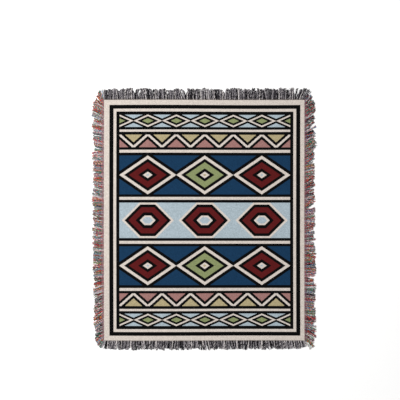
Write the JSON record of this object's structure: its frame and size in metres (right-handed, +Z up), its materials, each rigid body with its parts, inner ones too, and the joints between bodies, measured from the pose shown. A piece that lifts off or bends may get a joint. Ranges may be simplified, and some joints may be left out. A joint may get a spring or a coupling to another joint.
{
  "type": "cotton throw",
  "caption": "Woven cotton throw laid out flat, a rectangular sheet with a plain border, a banded geometric design and a fringe of loose yarn along every edge.",
  "frame": {"origin": "on the surface that the throw lies on, under the middle of its outline with the fringes", "axes": "+X to the right and +Y to the top edge of the throw as it is laid out face up, +Z up out of its face"},
  "size_m": [1.408, 1.655, 0.0051],
  "materials": {
    "woven_cotton": "matt woven cotton, cream border with a design in black, cream, blues, maroon, green, pink and tan",
    "yarn_black_and_natural": "matt loose yarn, black and off-white mixed",
    "yarn_mixed_colours": "matt loose yarn, rose, green, orange, blue-grey, dark and pale mixed"
  },
  "bodies": {
    "root": {"woven_panel": "woven_cotton", "fringe_top": "yarn_black_and_natural", "fringe_bottom": "yarn_black_and_natural", "fringe_left": "yarn_mixed_colours", "fringe_right": "yarn_mixed_colours"}
  },
  "joints": []
}
